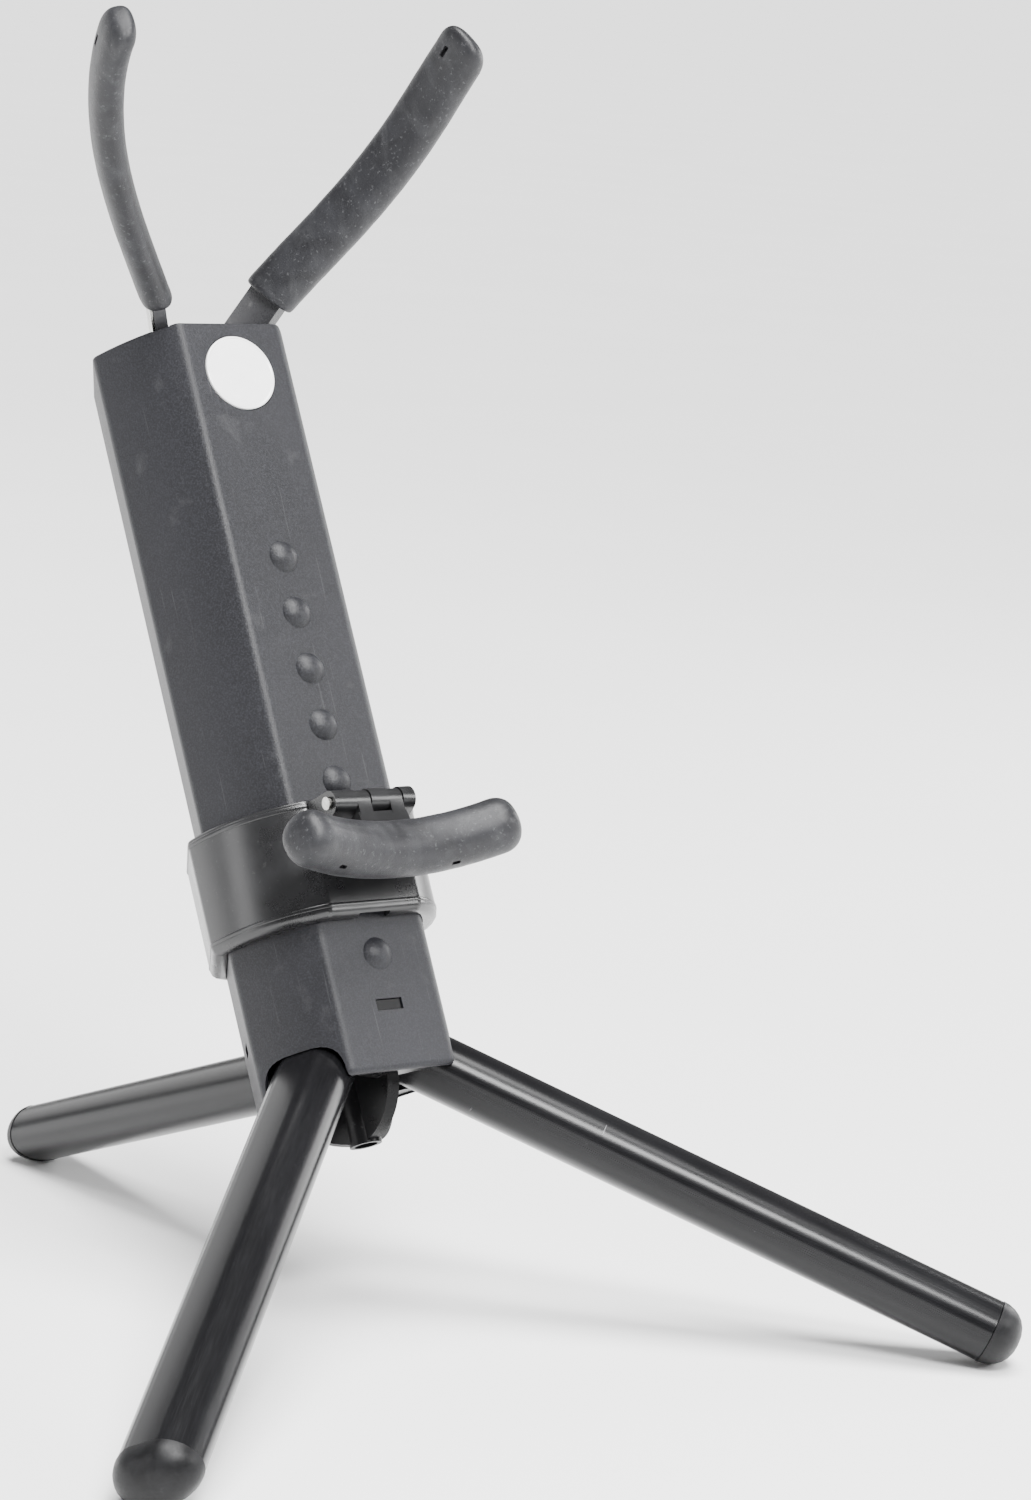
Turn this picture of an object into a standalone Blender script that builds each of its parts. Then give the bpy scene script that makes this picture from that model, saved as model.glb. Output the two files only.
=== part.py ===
"""Compact folding saxophone stand: column, sliding cradle, yoke arms and three legs.

The stand is drawn in its column frame: Z runs up the column, -Y is the front and +X the
right-hand side.  Every piece is then leaned back by LEAN, so that the three feet meet the floor.
Sizes are in metres.  A direction around the column is an azimuth in degrees from the front.
"""
import math

import bmesh
import bpy
from mathutils import Matrix, Vector

# ---------------------------------------------------------------- driving dimensions
MM = 0.001
GAP = 0.3 * MM                      # clearance between fixed neighbours
RUN = 0.09 * MM                     # radial clearance of a running fit

LEAN = math.radians(29.6487)        # how far the column leans back
STANDING = (0, -26.003 * MM, 86.732 * MM)  # column frame's origin once the feet are on the floor

COLUMN_TOP = 300 * MM
COLUMN_FOOT = -3.6 * MM
FLAT_APOTHEM = 36.2 * MM            # column axis to an outer flat
# three-sided sections: axis to flat, half width of a flat, bulge of a lobe beyond its chord
COLUMN_SECTION = (FLAT_APOTHEM, 23.0 * MM, 2.3 * MM)
COLLAR_SECTION = (42.0 * MM, 20.6 * MM, 8.2 * MM)
WALL = 3.0 * MM
CORNER = 5.0 * MM                   # rounding of the column's long edges
BORE_CORNER = 2.0 * MM
FLATS = (0, 120, -120)              # azimuths of the three flats
FILLET_STEPS = 3
LOBE_STEPS = 8

BUMP_COUNT = 8
BUMP_FIRST = 41.5 * MM
BUMP_PITCH = 22.94 * MM
BUMP_RADIUS = 6.4 * MM
BUMP_HEIGHT = 3.1 * MM

ARCH_RADIUS = 40.3 * MM             # column axis to the middle of a lobe
ARCHES = {"left": (-6.6 * MM, 10.1 * MM), "right": (-6.6 * MM, 10.1 * MM), "rear": (15.0 * MM, 27.6 * MM)}

WINDOW_Z = 21.6 * MM
WINDOW_HALF = (5.9 * MM, 2.2 * MM)  # half width and half height

BADGE_Z = 278.9 * MM
BADGE_RADIUS = 15.5 * MM
BADGE_THICK = 1.2 * MM
BADGE_RECESS = 0.7 * MM

# legs: section centred on the leg's axis, outer flat facing away from the column when folded
LEGS = {"left": -60, "right": 60, "rear": 180}
LEG_OPEN = {"left": 51.32, "right": 51.32, "rear": 98.98}
LEG_SEAM = {"left": 251 * MM, "right": 251 * MM, "rear": 212 * MM}
LEG_PIVOT_R = 19.0 * MM
LEG_PIVOT_Z = 11.2 * MM
LEG_HALF_W = 16.4 * MM
LEG_OUTER = 11.8 * MM               # axis to the outer flat
LEG_WIDEST = -0.8 * MM              # offset of the widest line from the axis
LEG_CROWN = 13.5 * MM               # half height of the outer ellipse before the flat cuts it
LEG_KEEL = 11.0 * MM                # half height of the inner ellipse
LEG_WALL = 1.8 * MM
TUBE_START = 3.0 * MM
KNUCKLE_R = 11.4 * MM
KNUCKLE_CREST = 6.2 * MM            # half width of the knuckle's full-radius part
PLUG_LENGTH = 30 * MM
DOME_LENGTH = 11.8 * MM
CAP_PROUD = 0.25 * MM
LEG_PIN_R = 2.0 * MM
LEG_PIN_HALF = 20.3 * MM

HUB_TOP = 31 * MM
HUB_PLATE = 2.5 * MM
POST_HALF = 17 * MM
POST_INSET = 0.2 * MM
BAY_HALF = 16.9 * MM                # half the width of a leg bay
BOSS_R = 6.3 * MM
BOSS_HOLE_R = 4.6 * MM
FIN_THICK = 5.3 * MM
FIN_REACH = 28 * MM
FIN_DROP = 23.3 * MM
BOSS_DROP = 23.9 * MM

# yoke arms, each in a plane parallel to a rear flat
ARMS = {"left": -1, "right": 1}
ARM_PLANE = 8 * MM                  # column axis to the blade's middle plane
ARM_PIVOT = (8.4 * MM, 292.3 * MM)
ARM_SLOPE = math.radians(35.4)
SLEEVE_START = (39.0 * MM, 314.0 * MM)
SLEEVE_LENGTH = 131 * MM
SLEEVE_WIDTH = 22.8 * MM
SLEEVE_THICK = 12.6 * MM
SLEEVE_TIP = 0.36                   # length of the rounded tip, in sleeve widths
BLADE_WIDTH = 16.5 * MM
BLADE_THICK = 5.0 * MM
LEAF_THICK = 0.9 * MM
ARM_PIN_R = 2.4 * MM
HEAD_FOOT = 264 * MM
HEAD_TOP = 301.4 * MM
SLOT_FLOOR = 281 * MM

# sliding collar and its cradle
COLLAR_FOOT = 55.6 * MM
COLLAR_TOP = 102 * MM
COLLAR_CORNER = 6.0 * MM
COLLAR_BORE_GAP = 0.4 * MM
CHANNEL_HALF = 7.0 * MM
CHANNEL_OUT = 4.6 * MM
SPRING_OUT = 4.1 * MM
HINGE = (-56.6 * MM, 95.6 * MM)     # Y and Z of the cradle's hinge axis
BARREL_R = 4.7 * MM
HINGE_PIN_R = 1.6 * MM
LUG_GAP = (4.0 * MM, 10.6 * MM)      # from the middle to the near and far side of a gap
LUG_ENDS = (20.5 * MM, 16.2 * MM)   # outer ends of the left and right lugs
BAR_CENTRE = (-62.5 * MM, 74.3 * MM)
BAR_TILT = math.radians(22.5)       # the way the bar's ends curve, above straight ahead
BAR_RADIUS = 100 * MM
BAR_HALF = 44 * MM
BAR_DOME = 8.3 * MM                 # length of the bar's rounded ends
PAD_HALF = (10.4 * MM, 10.6 * MM)
CORE_HALF = (4.6 * MM, 4.0 * MM)
WEB_HALF = 11.0 * MM
WEB_THICK = 4.4 * MM

LEANED = Matrix.Translation(STANDING) @ Matrix.Rotation(-LEAN, 4, "X")


# ---------------------------------------------------------------- materials
def material(name, colour, roughness, metallic=0.0):
    found = bpy.data.materials.get(name)
    if found:
        return found
    made = bpy.data.materials.new(name)
    made.use_nodes = True
    shader = made.node_tree.nodes["Principled BSDF"]
    shader.inputs["Base Color"].default_value = (*colour, 1)
    shader.inputs["Roughness"].default_value = roughness
    shader.inputs["Metallic"].default_value = metallic
    return made


def column_plastic():
    return material("column_plastic", (0.070, 0.070, 0.076), 0.62)


def satin_plastic():
    return material("satin_plastic", (0.030, 0.030, 0.033), 0.38)


def leg_aluminium():
    return material("leg_aluminium", (0.050, 0.050, 0.056), 0.30, 0.85)


def soft_rubber():
    return material("soft_rubber", (0.060, 0.060, 0.064), 0.80)


def foot_rubber():
    return material("foot_rubber", (0.028, 0.028, 0.030), 0.45)


def pin_steel():
    return material("pin_steel", (0.60, 0.60, 0.58), 0.25, 1.0)


def badge_white():
    return material("badge_white", (0.85, 0.85, 0.84), 0.20)


# ---------------------------------------------------------------- plane geometry
def direction(azimuth):
    angle = math.radians(azimuth)
    return Vector((math.sin(angle), -math.cos(angle), 0))


def lobe_fillet(section, offset, corner):
    """Lobe circle and fillet circle, seen with the lobe's middle direction as X."""
    apothem, half, bulge = section
    slant = math.radians(60)
    chord_x = apothem * math.cos(slant) + half * math.sin(slant)
    chord_y = apothem * math.sin(slant) - half * math.cos(slant)
    radius = (chord_y ** 2 + bulge ** 2) / (2 * bulge)
    lobe = Vector((chord_x + bulge - radius, 0))
    normal = Vector((math.cos(slant), math.sin(slant)))
    along = Vector((-normal.y, normal.x))
    foot = normal * (apothem + offset - corner)
    reach = radius + offset - corner
    lead = (foot - lobe).dot(along)
    root = math.sqrt(lead ** 2 - (foot - lobe).length_squared + reach ** 2)
    return lobe, radius + offset, foot - along * (lead + root)


def arc(centre, radius, start, end, steps):
    """Points of an arc, both ends included; angles in radians."""
    points = []
    for step in range(steps + 1):
        angle = start + (end - start) * step / steps
        points.append(centre + radius * Vector((math.cos(angle), math.sin(angle))))
    return points


def section_outline(section, offset, corner):
    """Three flats joined by three round lobes, moved outward by offset."""
    lobe, radius, fillet = lobe_fillet(section, offset, corner)
    slant = math.radians(60)
    tangent = math.atan2(fillet.y, fillet.x - lobe.x)
    mirrored = Vector((fillet.x, -fillet.y))
    lobe_points = arc(mirrored, corner, -slant, -tangent, FILLET_STEPS)
    lobe_points += arc(lobe, radius, -tangent, tangent, LOBE_STEPS)[1:-1]
    lobe_points += arc(fillet, corner, tangent, slant, FILLET_STEPS)
    points = []
    for azimuth in LEGS.values():
        spin = Matrix.Rotation(math.radians(azimuth - 90), 2)
        points += [tuple(spin @ point) for point in lobe_points]
    return points


def leg_outline(inset=0.0, steps=40):
    """Leg section: across the leg, and outward from the column when folded."""
    points = []
    for step in range(steps):
        angle = 2 * math.pi * step / steps
        height = LEG_CROWN if math.sin(angle) > 0 else LEG_KEEL
        across = (LEG_HALF_W - inset) * math.cos(angle)
        outward = LEG_WIDEST + (height - inset) * math.sin(angle)
        points.append((across, min(outward, LEG_OUTER - inset)))
    return points


def oval(half_x, half_y, power=2.6, steps=20):
    points = []
    for step in range(steps):
        angle = 2 * math.pi * step / steps
        cosine, sine = math.cos(angle), math.sin(angle)
        points.append((half_x * math.copysign(abs(cosine) ** (2 / power), cosine),
                       half_y * math.copysign(abs(sine) ** (2 / power), sine)))
    return points


def box_outline(half_x, half_y):
    return [(half_x, half_y), (-half_x, half_y), (-half_x, -half_y), (half_x, -half_y)]


def disc_outline(radius, steps=32):
    turn = 2 * math.pi / steps
    return [(radius * math.cos(turn * i), radius * math.sin(turn * i)) for i in range(steps)]


# ---------------------------------------------------------------- solids
def new_object(name, bm):
    bmesh.ops.recalc_face_normals(bm, faces=bm.faces)
    mesh = bpy.data.meshes.new(name)
    bm.to_mesh(mesh)
    bm.free()
    made = bpy.data.objects.new(name, mesh)
    bpy.context.scene.collection.objects.link(made)
    return made


def loft(name, rings):
    """Closed solid through rings of points, all with the same count."""
    bm = bmesh.new()
    loops = [[bm.verts.new(point) for point in ring] for ring in rings]
    count = len(loops[0])
    for below, above in zip(loops, loops[1:]):
        for i in range(count):
            j = (i + 1) % count
            bm.faces.new((below[i], below[j], above[j], above[i]))
    bm.faces.new(loops[0])
    bm.faces.new(loops[-1])
    return new_object(name, bm)


def prism(name, outline, low, high, frame=Matrix()):
    """Extrude an outline from low to high along the frame's Z."""
    rings = [[frame @ Vector((x, y, z)) for x, y in outline] for z in (low, high)]
    return loft(name, rings)


def frame_from(origin, x_axis, y_axis):
    z_axis = x_axis.cross(y_axis)
    turn = Matrix((x_axis, y_axis, z_axis)).transposed().to_4x4()
    return Matrix.Translation(origin) @ turn


def boolean(target, tool, operation):
    """Apply one exact boolean and drop the tool."""
    modifier = target.modifiers.new(operation, "BOOLEAN")
    modifier.operation = operation
    modifier.solver = "EXACT"
    modifier.object = tool
    bpy.context.view_layer.update()
    graph = bpy.context.evaluated_depsgraph_get()
    result = bpy.data.meshes.new_from_object(target.evaluated_get(graph))
    target.modifiers.clear()
    old = target.data
    target.data = result
    bpy.data.meshes.remove(old)
    bpy.data.objects.remove(tool)


def cut(target, *tools):
    for tool in tools:
        boolean(target, tool, "DIFFERENCE")


def add(target, *tools):
    for tool in tools:
        boolean(target, tool, "UNION")


def common(target, tool):
    boolean(target, tool, "INTERSECT")


def finish(obj, surface, pivot=Vector((0, 0, 0)), smooth_angle=35):
    """Weld, shade, colour and lean a piece, with its origin on its pivot."""
    bm = bmesh.new()
    bm.from_mesh(obj.data)
    bmesh.ops.remove_doubles(bm, verts=bm.verts, dist=1e-6)
    bmesh.ops.recalc_face_normals(bm, faces=bm.faces)
    bm.to_mesh(obj.data)
    bm.free()
    obj.data.transform(Matrix.Translation(-Vector(pivot)))
    obj.data.materials.clear()
    obj.data.materials.append(surface)
    for polygon in obj.data.polygons:
        polygon.use_smooth = True
        polygon.material_index = 0
    obj.data.set_sharp_from_angle(angle=math.radians(smooth_angle))
    obj.matrix_world = LEANED @ Matrix.Translation(pivot)
    return obj


# ---------------------------------------------------------------- column
def section_solid(name, section, offset, low, high, corner, low_round=0.0, high_round=0.0, rings=()):
    """Closed solid of a three-sided section, with rounded ends and extra rings at given heights."""
    steps = 3
    levels = []
    for step in range(steps if low_round else 0):
        angle = math.pi / 2 * step / steps
        levels.append((low_round * (1 - math.sin(angle)), low + low_round * (1 - math.cos(angle))))
    levels.append((0, low + low_round))
    levels.extend((0, height) for height in rings)
    levels.append((0, high - high_round))
    for step in range(1, steps + 1 if high_round else 0):
        angle = math.pi / 2 * step / steps
        levels.append((high_round * (1 - math.cos(angle)), high - high_round * (1 - math.sin(angle))))
    rings = []
    for inset, height in levels:
        outline = section_outline(section, offset - inset, corner - inset)
        rings.append([(x, y, height) for x, y in outline])
    return loft(name, rings)


def flat_frame(azimuth, height):
    """Frame on an outer flat: X along the flat, Y up the column, Z outward."""
    outward = direction(azimuth)
    across = Vector((0, 0, 1)).cross(outward)
    return frame_from(outward * FLAT_APOTHEM + Vector((0, 0, height)), across, Vector((0, 0, 1)))


def dome(name, frame, radius, height, rings=5, steps=24):
    """Low spherical bump of a given radius at its surface, carried on a little way below it."""
    sphere = (radius ** 2 + height ** 2) / (2 * height)
    sink = 0.8 * MM
    base_angle = math.acos((sphere - height - sink) / sphere)
    levels = []
    for step in range(rings):
        angle = base_angle * (1 - step / rings)
        levels.append((sphere * math.sin(angle), sphere * math.cos(angle) - sphere + height))
    bm = bmesh.new()
    loops = []
    for level_radius, level in levels:
        loop = [bm.verts.new(frame @ Vector((x, y, level))) for x, y in disc_outline(level_radius, steps)]
        loops.append(loop)
    for below, above in zip(loops, loops[1:]):
        for i in range(steps):
            j = (i + 1) % steps
            bm.faces.new((below[i], below[j], above[j], above[i]))
    bm.faces.new(loops[0])
    peak = bm.verts.new(frame @ Vector((0, 0, height)))
    for i in range(steps):
        bm.faces.new((loops[-1][i], loops[-1][(i + 1) % steps], peak))
    return new_object(name, bm)


def arch_outline(half, spring, top, foot, steps=16):
    """Arch opening: round head over straight sides."""
    points = []
    for step in range(steps + 1):
        angle = math.pi * step / steps
        cosine, sine = math.cos(angle), math.sin(angle)
        points.append((half * math.copysign(abs(cosine) ** (2 / 3), cosine),
                       spring + (top - spring) * abs(sine) ** (2 / 3)))
    return points + [(-half, foot), (half, foot)]


def leg_arch(name, spring, top):
    """Cutter for a leg's arch; it slopes the way the opened leg does."""
    outward = direction(LEGS[name])
    across = Vector((0, 0, 1)).cross(outward)
    drop = 1 / math.tan(math.radians(LEG_OPEN[name]))
    outline = arch_outline(LEG_HALF_W + 1.1 * MM, spring, top, -22 * MM)
    rings = []
    for radius in (22 * MM, 56 * MM):
        lowered = (radius - ARCH_RADIUS) * drop
        rings.append([across * x + outward * radius + Vector((0, 0, z - lowered)) for x, z in outline])
    return loft("arch", rings)


def make_column():
    between_bumps = [BUMP_FIRST + (index + 0.5) * BUMP_PITCH for index in range(BUMP_COUNT)]
    shell = section_solid("column_shell", COLUMN_SECTION, 0, COLUMN_FOOT, COLUMN_TOP, CORNER,
                          2.2 * MM, 0.8 * MM, between_bumps)
    cut(shell, section_solid("bore", COLUMN_SECTION, -WALL, COLUMN_FOOT - 10 * MM,
                             COLUMN_TOP + 10 * MM, BORE_CORNER))
    for name, (spring, top) in ARCHES.items():
        cut(shell, leg_arch(name, spring, top))
    for azimuth in FLATS:
        window = prism("window", box_outline(*WINDOW_HALF), -6 * MM, 4 * MM,
                       flat_frame(azimuth, WINDOW_Z))
        cut(shell, window)
    cut(shell, prism("seat", disc_outline(BADGE_RADIUS + GAP, 48), -BADGE_RECESS, 3 * MM,
                     flat_frame(0, BADGE_Z)))
    for index in range(BUMP_COUNT):
        height = BUMP_FIRST + index * BUMP_PITCH
        add(shell, dome("bump", flat_frame(0, height), BUMP_RADIUS, BUMP_HEIGHT))
    return finish(shell, column_plastic())


def make_badge():
    frame = flat_frame(0, BADGE_Z)
    low = -BADGE_RECESS + 0.1 * MM
    high = low + BADGE_THICK
    rim = 0.35 * MM
    levels = [(BADGE_RADIUS, low), (BADGE_RADIUS, high - rim), (BADGE_RADIUS - rim, high)]
    rings = [[frame @ Vector((x, y, z)) for x, y in disc_outline(radius, 48)] for radius, z in levels]
    return finish(loft("badge", rings), badge_white())


# ---------------------------------------------------------------- hub under the column
def post_outline():
    """Wedge between two leg bays, just inside a flat: across the flat and outward."""
    outer = FLAT_APOTHEM - WALL - GAP - POST_INSET
    half = POST_HALF
    slope = math.radians(60)
    apex = BAY_HALF / math.sin(slope)
    side = (BAY_HALF + half * math.cos(slope)) / math.sin(slope)
    return [(0, apex), (half, side), (half, outer), (-half, outer), (-half, side)]


def fin_outline(steps=14):
    """Outward and up: half-ellipse drop below straight sides."""
    points = [(-0.5 * MM, HUB_TOP - 1 * MM), (-0.5 * MM, -FIN_DROP)]
    for step in range(1, steps + 1):
        angle = math.pi / 2 * step / steps
        points.append((FIN_REACH * math.sin(angle), -FIN_DROP * math.cos(angle)))
    return points + [(FIN_REACH, HUB_TOP - 1 * MM)]


def make_hub():
    plate_low = HUB_TOP - HUB_PLATE
    hub = section_solid("hub_yoke", COLUMN_SECTION, -WALL - GAP, plate_low, HUB_TOP, BORE_CORNER)
    add(hub, prism("boss", disc_outline(BOSS_R), -BOSS_DROP, plate_low + 1 * MM))
    for azimuth in FLATS:
        outward = direction(azimuth)
        across = Vector((0, 0, 1)).cross(outward)
        down = frame_from(Vector((0, 0, 0)), across, outward)
        add(hub, prism("post", post_outline(), -(plate_low + 1 * MM), 3.0 * MM, down))
        upright_frame = frame_from(across * (-FIN_THICK / 2), outward, Vector((0, 0, 1)))
        add(hub, prism("fin", fin_outline(), -FIN_THICK, 0, upright_frame))
        tab = prism("tab", box_outline(WINDOW_HALF[0] - GAP, WINDOW_HALF[1] - GAP),
                    -5 * MM, -0.8 * MM, flat_frame(azimuth, WINDOW_Z))
        add(hub, tab)
    cut(hub, prism("strap_hole", disc_outline(BOSS_HOLE_R), -BOSS_DROP - 5 * MM, -9 * MM))
    for azimuth in LEGS.values():
        cut(hub, leg_pin_solid("pin_bore", azimuth, LEG_PIN_R + RUN, LEG_PIN_HALF + GAP))
    return finish(hub, satin_plastic())


# ---------------------------------------------------------------- legs
def leg_pivot(azimuth):
    return direction(azimuth) * LEG_PIVOT_R + Vector((0, 0, LEG_PIVOT_Z))


def leg_axis(azimuth):
    """Hinge direction: a positive turn folds the leg down beside the column axis."""
    return Vector((0, 0, 1)).cross(direction(azimuth))


def leg_frame(name):
    """Frame on the opened leg: X across, Y out of the outer flat, Z from pivot to foot."""
    azimuth = LEGS[name]
    swing = Matrix.Rotation(-math.radians(LEG_OPEN[name]), 3, leg_axis(azimuth))
    outward = swing @ direction(azimuth)
    along = swing @ Vector((0, 0, -1))
    return frame_from(leg_pivot(azimuth), outward.cross(along), outward)


def leg_pin_solid(name, azimuth, radius, half):
    axis = leg_axis(azimuth)
    frame = frame_from(leg_pivot(azimuth), direction(azimuth), axis.cross(direction(azimuth)))
    return prism(name, disc_outline(radius, 24), -half, half, frame)


def knuckle_barrel(frame):
    """Turned barrel about the leg pin, with cone flanks that clear the hub's fins."""
    slope = math.tan(math.radians(30))
    ends = KNUCKLE_R - (LEG_HALF_W - KNUCKLE_CREST) * slope
    levels = ((-LEG_HALF_W, ends), (-KNUCKLE_CREST, KNUCKLE_R), (KNUCKLE_CREST, KNUCKLE_R),
              (LEG_HALF_W, ends))
    rings = [[frame @ Vector((x, y, z)) for x, y in disc_outline(radius, 48)] for z, radius in levels]
    return loft("barrel", rings)


def make_leg(name):
    azimuth = LEGS[name]
    pivot = leg_pivot(azimuth)
    frame = leg_frame(name)
    seam = LEG_SEAM[name]

    tube = prism("leg_tube_" + name, leg_outline(), TUBE_START, seam, frame)
    cut(tube, prism("bore", leg_outline(LEG_WALL), -1 * MM, seam + 5 * MM, frame))
    finish(tube, leg_aluminium(), pivot)

    knuckle = prism("leg_knuckle_" + name, leg_outline(0.2 * MM), -15 * MM, TUBE_START - GAP, frame)
    barrel_frame = frame @ Matrix.Rotation(math.pi / 2, 4, "Y")
    common(knuckle, knuckle_barrel(barrel_frame))
    add(knuckle, prism("plug", leg_outline(LEG_WALL + GAP), 0, PLUG_LENGTH, frame))
    cut(knuckle, prism("bore", disc_outline(LEG_PIN_R + RUN, 24), -30 * MM, 30 * MM, barrel_frame))
    finish(knuckle, satin_plastic(), pivot)

    cap = foot_cap("foot_cap_" + name, frame, seam)
    finish(cap, foot_rubber(), pivot)

    finish(leg_pin_solid("leg_pin_" + name, azimuth, LEG_PIN_R, LEG_PIN_HALF), pin_steel(), pivot)


def foot_cap(name, frame, seam, rings=7):
    """Domed end with a plug that enters the tube."""
    plug_outline = leg_outline(LEG_WALL + GAP)
    skirt_outline = leg_outline(-CAP_PROUD)
    first = seam + GAP
    sections = [[(x, y, seam - 14 * MM) for x, y in plug_outline],
                [(x, y, first) for x, y in plug_outline],
                [(x, y, first) for x, y in skirt_outline]]
    for step in range(1, rings + 1):
        angle = math.pi / 2 * step / (rings + 0.35)
        shrink, reach = math.cos(angle) ** 0.85, math.sin(angle)
        sections.append([(x * shrink, y * shrink, first + DOME_LENGTH * reach)
                         for x, y in skirt_outline])
    return loft(name, [[frame @ Vector(point) for point in ring] for ring in sections])


# ---------------------------------------------------------------- yoke arms
def arm_frame(side):
    """Frame of an arm's plane: X sideways out of the column, Y up, Z away from the column."""
    sideways = direction(30 * ARMS[side])
    outward = direction(120 * ARMS[side])
    turn = Matrix((sideways, Vector((0, 0, 1)), outward)).transposed().to_4x4()
    return Matrix.Translation(outward * ARM_PLANE) @ turn


def arm_path(length, steps=24):
    """Sleeve centre line: place in the arm plane, slope, and bow out of the plane."""
    x, y = SLEEVE_START
    path = [(x, y, ARM_SLOPE, 0.0)]
    stride = length / steps
    for step in range(1, steps + 1):
        middle = (step - 0.5) * stride / SLEEVE_LENGTH
        slope = ARM_SLOPE - 0.773 * middle + 2.287 * middle ** 2 - 1.774 * middle ** 3
        x += stride * math.cos(slope)
        y += stride * math.sin(slope)
        run = step * stride / SLEEVE_LENGTH
        path.append((x, y, slope, (21.9 * run + 10.2 * run ** 2 - 35.1 * run ** 3) * MM))
    return path


def before_sleeve(distance):
    """Path point short of the sleeve's start, on the straight root of the arm."""
    return (SLEEVE_START[0] - distance * math.cos(ARM_SLOPE),
            SLEEVE_START[1] - distance * math.sin(ARM_SLOPE), ARM_SLOPE, 0.0)


def strip_rings(path, outline, frame, scales=None):
    """Rings of an outline (across the path, out of the arm plane) along a path."""
    rings = []
    for index, (x, y, slope, bow) in enumerate(path):
        scale = scales[index] if scales else 1.0
        normal = Vector((-math.sin(slope), math.cos(slope), 0)) * scale
        centre = Vector((x, y, bow))
        rings.append([frame @ (centre + normal * across + Vector((0, 0, out * scale)))
                      for across, out in outline])
    return rings


def sleeve_path():
    """Path and section scales of the sleeve, with a rounded tip."""
    tip = SLEEVE_WIDTH * SLEEVE_TIP
    path = arm_path(SLEEVE_LENGTH - tip)
    scales = [1.0] * len(path)
    x, y, slope, bow = path[-1]
    lean = (bow - path[-2][3]) / math.dist((x, y), path[-2][:2])
    for step in range(1, 7):
        angle = math.pi / 2 * step / 6.3
        reach = tip * math.sin(angle)
        path.append((x + reach * math.cos(slope), y + reach * math.sin(slope), slope, bow + reach * lean))
        scales.append(math.cos(angle) ** 0.62)
    return path, scales


def root_outline(half, steps=12):
    """Flat root of an arm in its plane: round about the pivot, square short of the sleeve."""
    end = Vector(before_sleeve(0.8 * MM)[:2])
    normal = Vector((-math.sin(ARM_SLOPE), math.cos(ARM_SLOPE))) * half
    start = ARM_SLOPE + math.pi / 2
    return arc(Vector(ARM_PIVOT), half, start, start + math.pi, steps) + [end - normal, end + normal]


def arm_disc(name, side, radius, low, high, steps=32):
    frame = arm_frame(side) @ Matrix.Translation((*ARM_PIVOT, 0))
    return prism(name, disc_outline(radius, steps), low, high, frame)


def make_arm(side):
    frame = arm_frame(side)
    pivot = frame @ Vector((*ARM_PIVOT, 0))
    half_thick = BLADE_THICK / 2

    path = [(*ARM_PIVOT, ARM_SLOPE, 0.0), before_sleeve(6 * MM)] + arm_path(SLEEVE_LENGTH - 22 * MM, 20)
    blade = loft("arm_blade_" + side, strip_rings(path, box_outline(BLADE_WIDTH / 2, half_thick), frame))
    eye_thick = half_thick - 0.2 * MM
    add(blade, arm_disc("eye", side, BLADE_WIDTH / 2 - 0.1 * MM, -eye_thick, eye_thick))
    leaf = prism("arm_leaf_" + side, root_outline(BLADE_WIDTH / 2 - 0.6 * MM), half_thick + GAP,
                 half_thick + GAP + LEAF_THICK, frame)
    for piece, surface in ((blade, satin_plastic()), (leaf, pin_steel())):
        cut(piece, arm_disc("bore", side, ARM_PIN_R + RUN, -10 * MM, 10 * MM))
        finish(piece, surface, pivot)

    path, scales = sleeve_path()
    section = oval(SLEEVE_WIDTH / 2, SLEEVE_THICK / 2, 2.6, 28)
    sleeve = loft("arm_sleeve_" + side, strip_rings(path, section, frame, scales))
    path = [before_sleeve(6 * MM)] + arm_path(SLEEVE_LENGTH - 21.4 * MM, 20)
    pocket = box_outline(BLADE_WIDTH / 2 + GAP, half_thick + GAP)
    cut(sleeve, loft("pocket", strip_rings(path, pocket, frame)))
    finish(sleeve, soft_rubber(), pivot, 50)

    finish(arm_disc("arm_pin_" + side, side, ARM_PIN_R, -6 * MM, 9.5 * MM), pin_steel(), pivot)


def make_head():
    """Plug in the top of the column that carries both arm pins."""
    head = section_solid("arm_head", COLUMN_SECTION, -WALL - GAP, HEAD_FOOT, HEAD_TOP, BORE_CORNER,
                         0, 0.5 * MM)
    cut(head, prism("lightening", disc_outline(15 * MM), HEAD_FOOT - 5 * MM, HEAD_FOOT + 8 * MM))
    inner = -(BLADE_THICK / 2 + 0.45 * MM)
    outer = BLADE_THICK / 2 + GAP + LEAF_THICK + 0.45 * MM
    back = ARM_PIVOT[0] - BLADE_WIDTH / 2 - 1.0 * MM
    opening = [(back, SLOT_FLOOR), (60 * MM, SLOT_FLOOR), (60 * MM, HEAD_TOP + 5 * MM),
               (back, HEAD_TOP + 5 * MM)]
    for side in ARMS:
        cut(head, prism("slot", opening, inner, outer, arm_frame(side)))
        cut(head, arm_disc("bore", side, ARM_PIN_R + RUN, -6.3 * MM, 40 * MM, 24))
    return finish(head, satin_plastic())


# ---------------------------------------------------------------- collar and cradle
def hinge_frame():
    """Frame on the hinge axis: X forward, Y up the column, Z to the left."""
    return frame_from(Vector((0, *HINGE)), Vector((0, -1, 0)), Vector((0, 0, 1)))


def lug_outline(steps=12):
    """Side view of a hinge lug: a round nose on a block that meets the collar."""
    wall = -HINGE[0] - COLLAR_SECTION[0] + 1.2 * MM
    points = []
    for step in range(steps + 1):
        angle = math.radians(-75 + 165 * step / steps)
        points.append((BARREL_R * math.cos(angle), BARREL_R * math.sin(angle)))
    return points + [(-wall, BARREL_R), (-wall, -12 * MM)]


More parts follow.
